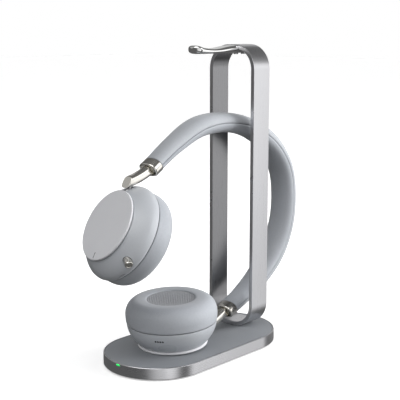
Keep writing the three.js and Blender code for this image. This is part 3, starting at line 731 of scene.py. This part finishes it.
def make_headband_pad():
    """The inner half of the headband, shaped here and not by simulation."""
    pad = build("headband_pad", *loft(band_rings(pad_section)), "cushion", sharp=50)
    settle(carve(pad, slideway_cutters(), sharp=50), "headband", "cushion", "headband_cushion")


def make_collar(side):
    """A metal sleeve with a sunk face that the arm comes out of."""
    end = band_end(side)
    outer = [value + COLLAR["grow"] for value in end[2]]
    bore = arm_bore()
    mouth = [value + 0.3 for value in bore]
    length, lip = COLLAR["length"], COLLAR["rim"]
    sunk = length - COLLAR["rim_depth"]
    wall = [(0.5, GAP), (0.1, GAP + 0.25), (0.0, GAP + 0.7), (0.0, length - 1.1), (0.1, length - 0.55),
            (0.4, length - 0.15), (0.8, length), (lip, length - 0.1), (lip + 0.3, length - 0.5),
            (lip + 0.5, sunk)]
    rings = [rod_ring(end, d, [o - inset for o in outer], BAND["roundness"]) for inset, d in wall]
    for distance, half in ((sunk, mouth), (sunk - 0.3, bore), (GAP, bore)):
        rings.append(rod_ring(end, distance, half, ARM["roundness"]))
    ring = build(f"{side}_collar_metal", *loft(rings, closed=True), "nickel", sharp=42)
    settle(ring, "headband", "nickel", f"{side}_collar")


# ---------------------------------------------------------------- earcup places
def cup_frame(out, pin, seam):
    """A cup's frame: X towards its hinge, Z the way its outer disc faces."""
    out, pin = Vector(out).normalized(), Vector(pin).normalized()
    across = out.cross(pin).normalized()
    toward = across.cross(out).normalized()
    matrix = Matrix((toward, across, out)).transposed().to_4x4()
    matrix.translation = Vector(seam)
    return matrix


LEAN, SWIVEL = math.radians(31), math.radians(-11.2)
PIN = Vector((math.sin(LEAN), 0, math.cos(LEAN)))
OUT_NEUTRAL = Vector((-math.cos(LEAN), 0, math.sin(LEAN)))
OUT = Matrix.Rotation(SWIVEL, 3, PIN) @ OUT_NEUTRAL
AXIS = Vector((-82.4, 0, 112.7))
REST_LEAN = math.radians(3)
UPPER = cup_frame(OUT, PIN, AXIS - OUT * CUP["hinge_height"])
UPPER_NEUTRAL = cup_frame(OUT_NEUTRAL, PIN, AXIS - OUT_NEUTRAL * CUP["hinge_height"])
DOWN = (math.sin(REST_LEAN), 0, -math.cos(REST_LEAN))
TO_LOOP = (math.cos(REST_LEAN), 0, math.sin(REST_LEAN))
LOWER = cup_frame(DOWN, TO_LOOP, (-22.9, 0, 30.35))
ARM_FRAMES = {"upper": UPPER_NEUTRAL, "lower": LOWER}
CUP_FRAMES = {"upper": UPPER, "lower": LOWER}


# ---------------------------------------------------------------- arms
def bezier(p0, p1, p2, p3, t):
    """A point on a cubic curve, a share of the way along."""
    return p0 * (1 - t) ** 3 + 3 * p1 * t * (1 - t) ** 2 + 3 * p2 * t * t * (1 - t) + p3 * t ** 3


def arm_line(side, inside, heading):
    """Points along the bar, from just inside its collar to its end over the cup."""
    place, way, _ = band_end(side)
    bar, matrix = BARS[side], ARM_FRAMES[side]
    tip = in_plane(matrix @ Vector((bar["reach"], 0, bar["height"])))
    start = place + way * (COLLAR["length"] + bar["straight"])
    first, last = bar["handles"]
    handles = (start, start + way * first, tip - heading * last, tip)
    line = [place + way * inside, place + way * (inside + 0.4)]
    return line + [bezier(*handles, i / 48) for i in range(49)]


def in_plane(point):
    """The X and Z of a point, which is how the headband's line is drawn."""
    return np.array([point[0], point[2]])


def arm_rings(line, way):
    """Sections along an arm; the first two lie square to its collar."""
    section = superellipse(ARM["half"], ARM["roundness"], 72)
    rings = []
    for i, point in enumerate(line):
        ahead = line[min(i + 1, len(line) - 1)] - line[max(i - 1, 0)]
        if i < 2:
            ahead = way
        rings.append(on_band(point, ahead / np.linalg.norm(ahead), section))
    return rings


def drawn_in(points, amount, shift):
    """A ring of points moved towards its own centre, and shifted."""
    centre = sum(points, Vector()) / len(points)
    return [tuple(p + (centre - p).normalized() * amount + shift) for p in points]


def flat_ended(rings, forward, matrix, height):
    """The bar cut off by a plane parallel to the cup's outer disc, with a fine edge."""
    out = matrix.to_3x3() @ Vector((0, 0, 1))
    origin = matrix.translation

    def height_of(point):
        return (Vector(point) - origin).dot(out)

    def slid_to(point, level):
        return Vector(point) + forward * ((level - height_of(point)) / forward.dot(out))

    keep = [ring for ring in rings[:-1] if max(height_of(p) for p in ring) < height - 1.0]
    edge = [slid_to(p, height) for p in rings[-1]]
    below = [tuple(slid_to(p, height - 0.45)) for p in rings[-1]]
    return [*keep, below, drawn_in(edge, 0.12, -out * 0.1), drawn_in(edge, 0.45, Vector())]


def blunt_ended(rings, forward):
    """The bar ended square, with a small chamfer."""
    end = [Vector(p) for p in rings[-1]]
    return [*rings, drawn_in(end, 0.5, forward * 0.3)]


def make_arm(side):
    """The bent metal bar, with the flat tongue that slides in the headband."""
    place, way, _ = band_end(side)
    bar, matrix = BARS[side], ARM_FRAMES[side]
    lean = math.radians(bar["lean"])
    ahead = matrix.to_3x3() @ Vector((-math.sin(lean), 0, math.cos(lean)))
    heading = in_plane(ahead)
    forward = Vector((heading[0], 0, heading[1]))
    inside = COLLAR["length"] - bar["inside"]
    rings = arm_rings(arm_line(side, inside, heading), way)
    if side == "upper":
        rings = flat_ended(rings, forward, matrix, bar["height"])
    else:
        rings = blunt_ended(rings, forward)
    section = rectangle(*(value / 2 for value in ARM["tongue"]))
    ends = (inside - ARM["tongue_length"], inside + 1.5)
    tongue = loft([on_band(place + way * d, way, section) for d in ends])
    arm = build(f"{side}_arm_metal", *join_parts(loft(rings), tongue), "nickel", sharp=36)
    settle(arm, f"{side}_arm", "nickel", f"{side}_arm")


# ---------------------------------------------------------------- earcups
def bowl_radius(z):
    """The bowl as in the CAD: it bulges a little over the seam, then draws in to its neck."""
    widest = CUP["widest"]
    if z < widest:
        return CUP["bowl"] - (CUP["bowl"] - CUP["seam"]) * (1 - z / widest) ** 2
    return CUP["bowl"] - (CUP["bowl"] - CUP["neck"]) * ((z - widest) / (CUP["bowl_height"] - widest)) ** 2


def resting_bowl_radius(z):
    """The resting bowl, whose wall draws in straight from the seam."""
    rim = CUP["seam"] - RESTING_WALL["inset"]
    return rim - (rim - CUP["neck"]) * (z / CUP["bowl_height"]) ** RESTING_WALL["power"]


def hanging_bowl_radius(z):
    """The hanging bowl, eased in a little at the shoulder where its arm passes over it as it tilts."""
    start = HANGING_SHOULDER["start"]
    shoulder = min(1.0, max(0.0, (z - start) / (CUP["bowl_height"] - start)))
    return bowl_radius(z) - HANGING_SHOULDER["ease"] * math.sin(math.pi * shoulder)


BOWL_SHAPES = {"upper": hanging_bowl_radius, "lower": resting_bowl_radius}


def scaled(matrix):
    """The same frame with its place in metres, for meshes that are already in metres."""
    out = matrix.copy()
    out.translation = matrix.translation * MM
    return out


def around_cup(name, part, degrees, matrix, slot="dark_plastic"):
    """Builds a part turned about the cup's axis."""
    turned = moved(part, Matrix.Rotation(math.radians(degrees), 4, "Z"))
    return build(name, *turned, slot, matrix)


def post_along_x(radius, start, stop, z, segments=48):
    """A cylinder that points away from the cup's axis."""
    turns = [2 * math.pi * i / segments for i in range(segments)]
    rings = [[(x, radius * math.cos(a), z + radius * math.sin(a)) for a in turns] for x in (start, stop)]
    return loft(rings)


def bowl_profile(radius_at):
    """The bowl's section: outside from the top down to the seam, then back up inside."""
    top, floor, wall = CUP["bowl_height"], CUP["bowl_height"] - CUP["floor"], CUP["wall"]
    rim = radius_at(0.0)
    heights = [top * (1 - i / 40) for i in range(40)]
    outside = [(radius_at(z), z) for z in heights] + [(rim - 0.02, 0.12), (rim - 0.25, 0.0)]
    inside = [(radius_at(z) - wall, z) for z in np.linspace(0, floor, 24)]
    return [(POLE, top), (20, top), *outside, *inside, (POLE, floor)]


def pin_cutter(matrix):
    """The slot that the hinge pin comes in through."""
    reach, height = CUP["hinge_radius"] + PIN_SLOT["inset"], CUP["hinge_height"]
    half_w, half_h = PIN_SLOT["half_width"], PIN_SLOT["half_height"]
    heights = (height - half_h, height + half_h)
    slot = rounded_box((reach, 40), (-half_w, half_w), heights, PIN_SLOT["radius"])
    return build("pin_cutter", *slot, "dark_plastic", matrix)


def button_and_mic_cutters(matrix):
    """The button's well and the microphone slot of the hanging cup."""
    surface = bowl_radius(BUTTON["height"])
    well = post_along_x(BUTTON["radius"] + GAP, surface - 5, surface + 6, BUTTON["height"])
    microphone = rounded_box(MIC_SLOT["x"], MIC_SLOT["y"], MIC_SLOT["z"], MIC_SLOT["radius"])
    return [around_cup("well_cutter", well, BUTTON["angle"], matrix),
            around_cup("mic_cutter", microphone, MIC_SLOT["angle"], matrix)]


def microphone_hole_cutters(matrix):
    """The four holes of the resting cup. Each also gets a dark plug just inside it, as painted shade in the
    hole.
    """
    height = MIC_HOLES["height"]
    surface = BOWL_SHAPES["lower"](height)
    deep, shallow = MIC_HOLES["plug_depth"]
    cutters = []
    for i in range(MIC_HOLES["count"]):
        angle = MIC_HOLES["first"] + MIC_HOLES["step"] * i
        hole = post_along_x(MIC_HOLES["radius"], 28, 38, height, 24)
        cutters.append(around_cup(f"hole_cutter_{i}", hole, angle, matrix))
        # painted shade: a near-black plug sits a little inside each hole so that the hole reads dark
        plug = post_along_x(MIC_HOLES["plug_radius"], surface - deep, surface - shallow, height, 24)
        shade_plug = around_cup(f"microphone_hole_shade_{i + 1}", plug, angle, matrix, "rubber")
        settle(shade_plug, "lower_cup", "dark_plastic")
    return cutters


def make_bowl(side):
    """A cup's painted shell with its openings."""
    matrix = scaled(CUP_FRAMES[side])
    bowl = build(f"{side}_bowl_shell", *lathe(bowl_profile(BOWL_SHAPES[side])), "shell", matrix, sharp=40)
    openings = button_and_mic_cutters if side == "upper" else microphone_hole_cutters
    cutters = [pin_cutter(matrix), *openings(matrix)]
    settle(carve(bowl, cutters, sharp=40), f"{side}_cup", "shell", f"{side}_bowl")


def make_disc(side):
    """The outer disc, with a rounded edge and a flat face."""
    top, low, radius = CUP["face"], CUP["bowl_height"] + GAP, CUP["disc"]
    profile = [(POLE, low), (radius - 1.2, low), (radius - 0.5, low + 0.25), (radius, low + 0.8),
               (radius, top - 0.75), (radius - 0.1, top - 0.35), (radius - 0.35, top - 0.1),
               (radius - 0.75, top), (radius - 3, top), (POLE, top)]
    disc = build(f"{side}_disc_face", *lathe(profile), "disc", scaled(CUP_FRAMES[side]), sharp=45)
    settle(disc, f"{side}_cup", "disc", f"{side}_outer_disc")


def make_mark():
    """The short line on the hanging cup's disc."""
    heights = (CUP["face"] - MARK["sunk"], CUP["face"] + MARK["proud"])
    strip = rounded_box(MARK["x"], MARK["y"], heights, MARK["radius"])
    mark = build("disc_mark", *moved(strip, Matrix.Rotation(math.pi, 4, "Z")), "ink", scaled(UPPER))
    settle(mark, "upper_cup", "dark_plastic")


def cushion_profile():
    """The ear cushion's section: a small lip at the seam, the side, the crown and the ear opening."""
    back, front, radius, ear = CUSHION["back"], -CUP["depth"], CUP["cushion"], CUP["ear"]
    lip, widest, crown = CUSHION["lip"], CUSHION["widest"], radius - CUSHION["crown"]
    mouth = [(radius - 1.15, back), (radius - 1.15, lip), (radius - 0.9, lip + 0.06),
             (radius - 0.6, lip - 0.1), (radius - 0.42, lip - 0.5), (radius - 0.28, lip - 1.5),
             (radius - 0.12, -4.0)]
    side = []
    for i in range(15):
        a = math.pi / 2 * i / 14
        side.append((crown + (radius - crown) * math.cos(a), widest + (front - widest) * math.sin(a) ** 0.9))
    roll = [(ear + 2.2, front + 0.05), (ear + 0.5, front + 0.15), (ear - 0.7, front + 0.45),
            (ear - 1.2, front + 0.95), (ear - 0.9, front + 1.3), (ear, front + 2.2)]
    inside = [(ear, back - 6), (ear, back - 3), (ear, back), (ear + 5, back), (ear + 10, back)]
    return mouth + side + roll + inside


def make_cushion(side):
    """A leather ring, swelled by cloth simulation; its back and the ear opening stay put."""
    matrix = scaled(CUP_FRAMES[side])
    points, faces = lathe(cushion_profile(), 96, closed=True)
    piece = build(f"{side}_cushion_leather", points, faces, "cushion", matrix, sharp=180)
    into_cup = matrix.inverted()
    pinned = []
    for vertex in piece.data.vertices:
        local = into_cup @ vertex.co
        radius = math.hypot(local.x, local.y) / MM
        height = local.z / MM
        if height > SWELL["pinned_above"] or radius < CUP["ear"] + SWELL["pinned_near_ear"]:
            pinned.append(vertex.index)
    inflate(piece, pinned)
    softer = piece.modifiers.new("smooth", "SUBSURF")
    softer.levels = softer.render_levels = 1
    settle(piece, f"{side}_cup", "cushion", f"{side}_ear_cushion")


def ribbed_dish(radius, edge, rings=90, count=200):
    """A shallow dish with parallel ribs, as points and faces."""
    angle = math.radians(RIBS["angle"])
    along = Vector((math.cos(angle), math.sin(angle)))
    points = [(0.0, 0.0, edge + RIBS["dish"])]
    for i in range(1, rings + 1):
        r = radius * i / rings
        for j in range(count):
            a = 2 * math.pi * j / count
            x, y = r * math.cos(a), r * math.sin(a)
            across = -x * along.y + y * along.x
            dish = RIBS["dish"] * (1 - (r / radius) ** 2)
            wave = math.cos(2 * math.pi * across / RIBS["pitch"])
            rib = RIBS["depth"] * wave * smooth((radius - r) / RIBS["fade"])
            points.append((x, y, edge + dish - rib))
    faces = [(0, 1 + j, 1 + (j + 1) % count) for j in range(count)]
    for i in range(rings - 1):
        here, there = 1 + i * count, 1 + (i + 1) * count
        for j in range(count):
            k = (j + 1) % count
            faces.append((here + j, there + j, there + k, here + k))
    return points, faces


def make_ear_mesh(side):
    """Knitted speaker cloth, sunk a little in the ear opening."""
    dish = ribbed_dish(CUP["ear"] - GAP, RIBS["sunk"] - CUP["depth"])
    cloth = build(f"{side}_knit_mesh", *dish, "ear_mesh", scaled(CUP_FRAMES[side]), sharp=180)
    settle(cloth, f"{side}_cup", "ear_mesh", f"{side}_ear_mesh")


def make_button():
    """A round metal knob with a faintly dished face."""
    radius, stand = BUTTON["radius"], BUTTON["stand"]
    profile = [(POLE, -BUTTON["depth"]), (radius, -BUTTON["depth"]), (radius, stand - 1.0),
               (radius - 0.08, stand - 0.6), (radius - 0.3, stand - 0.25), (radius - 0.6, stand - 0.1),
               (radius - 0.9, stand - 0.06), (radius - 1.1, stand - 0.25), (POLE, stand - 0.15)]
    turn = Matrix.Rotation(math.radians(BUTTON["angle"]), 4, "Z")
    out = Matrix.Translation((bowl_radius(BUTTON["height"]), 0, BUTTON["height"]))
    onto = turn @ out @ Matrix.Rotation(math.pi / 2, 4, "Y")
    cap = build("button_cap", *moved(lathe(profile, 64), onto), "nickel", scaled(UPPER), sharp=40)
    settle(cap, "upper_button", "nickel", "upper_button")


# ---------------------------------------------------------------- stage, light and camera
def make_stage():
    """A plain pale floor that lights nothing and isn't seen in the metals."""
    mesh = bpy.data.meshes.new("floor")
    size = FLOOR["half_size"]
    corners = [(-size, -size, 0), (size, -size, 0), (size, size, 0), (-size, size, 0)]
    mesh.from_pydata(corners, [], [(0, 1, 2, 3)])
    mesh.materials.append(paper("floor_paper"))
    floor = bpy.data.objects.new("floor", mesh)
    bpy.context.scene.collection.objects.link(floor)
    floor.visible_glossy = False
    floor.visible_diffuse = False


def studio_world():
    """A soft studio: an even room with bright panels and dark gaps, by direction."""
    world = bpy.data.worlds.new("studio")
    bpy.context.scene.world = world
    world.use_nodes = True
    tree = world.node_tree
    background = tree.nodes["Background"]
    direction = tree.nodes.new("ShaderNodeTexCoord").outputs["Generated"]

    def lobe(towards, start, stop, strength):
        dot = tree.nodes.new("ShaderNodeVectorMath")
        dot.operation = "DOT_PRODUCT"
        dot.inputs[1].default_value = Vector(towards).normalized()
        tree.links.new(direction, dot.inputs[0])
        spread = tree.nodes.new("ShaderNodeMapRange")
        spread.interpolation_type = "SMOOTHSTEP"
        spread.inputs["From Min"].default_value = start
        spread.inputs["From Max"].default_value = stop
        spread.inputs["To Max"].default_value = strength
        tree.links.new(dot.outputs["Value"], spread.inputs["Value"])
        return spread.outputs["Result"]

    panels = [lobe(*panel) for panel in ROOM_PANELS.values()]
    total = tree.nodes.new("ShaderNodeMath")
    total.operation = "ADD"
    total.inputs[0].default_value = ROOM_GLOW
    tree.links.new(panels[0], total.inputs[1])
    for panel in panels[1:]:
        more = tree.nodes.new("ShaderNodeMath")
        more.operation = "ADD"
        tree.links.new(total.outputs[0], more.inputs[0])
        tree.links.new(panel, more.inputs[1])
        total = more
    seen = tree.nodes.new("ShaderNodeMix")
    seen.inputs["B"].default_value = 1.0
    tree.links.new(tree.nodes.new("ShaderNodeLightPath").outputs["Is Camera Ray"], seen.inputs["Factor"])
    tree.links.new(total.outputs[0], seen.inputs["A"])
    tree.links.new(seen.outputs["Result"], background.inputs["Strength"])
    background.inputs["Color"].default_value = (1, 1, 1, 1)


def matt_light(name, towards, energy):
    """A large soft light on the right that only the matt surfaces answer to."""
    data = bpy.data.lights.new(name, "AREA")
    data.size = LIGHT["size"]
    data.energy = energy
    light = bpy.data.objects.new(name, data)
    direction = Vector(towards).normalized()
    light.location = Vector(LIGHT["aim"]) + direction * LIGHT["distance"]
    light.rotation_euler = direction.to_track_quat("Z", "Y").to_euler()
    light.visible_glossy = False
    bpy.context.scene.collection.objects.link(light)


def make_camera():
    """The camera, looking slightly down from the front left."""
    heading, drop = math.radians(CAMERA["heading"]), math.radians(CAMERA["drop"])
    level = math.cos(drop)
    forward = Vector((math.sin(heading) * level, math.cos(heading) * level, -math.sin(drop)))
    data = bpy.data.cameras.new("camera")
    data.sensor_width = CAMERA["sensor"]
    data.lens = CAMERA["lens"]
    camera = bpy.data.objects.new("camera", data)
    camera.location = Vector(CAMERA["place"])
    camera.rotation_euler = forward.to_track_quat("-Z", "Y").to_euler()
    bpy.context.scene.collection.objects.link(camera)
    bpy.context.scene.camera = camera
    bpy.context.scene.view_settings.view_transform = "Standard"


# ---------------------------------------------------------------- everything together
for entry in frame["record"]["subparts"]:
    for material_slot in frame["nodes"][entry["node"]].material_slots:
        material_slot.material = MATERIALS[entry["material_slot"]]

make_camera()
make_stage()
studio_world()
for light_name, (way_to_light, energy) in MATT_LIGHTS.items():
    matt_light(light_name, way_to_light, energy)
make_rim()
make_top_plate()
make_loop()
make_hook()
make_headband_skin()
make_headband_pad()
for band_side in ("upper", "lower"):
    make_collar(band_side)
for cup_side in ("upper", "lower"):
    make_arm(cup_side)
    make_bowl(cup_side)
    make_disc(cup_side)
    make_cushion(cup_side)
    make_ear_mesh(cup_side)
make_mark()
make_button()
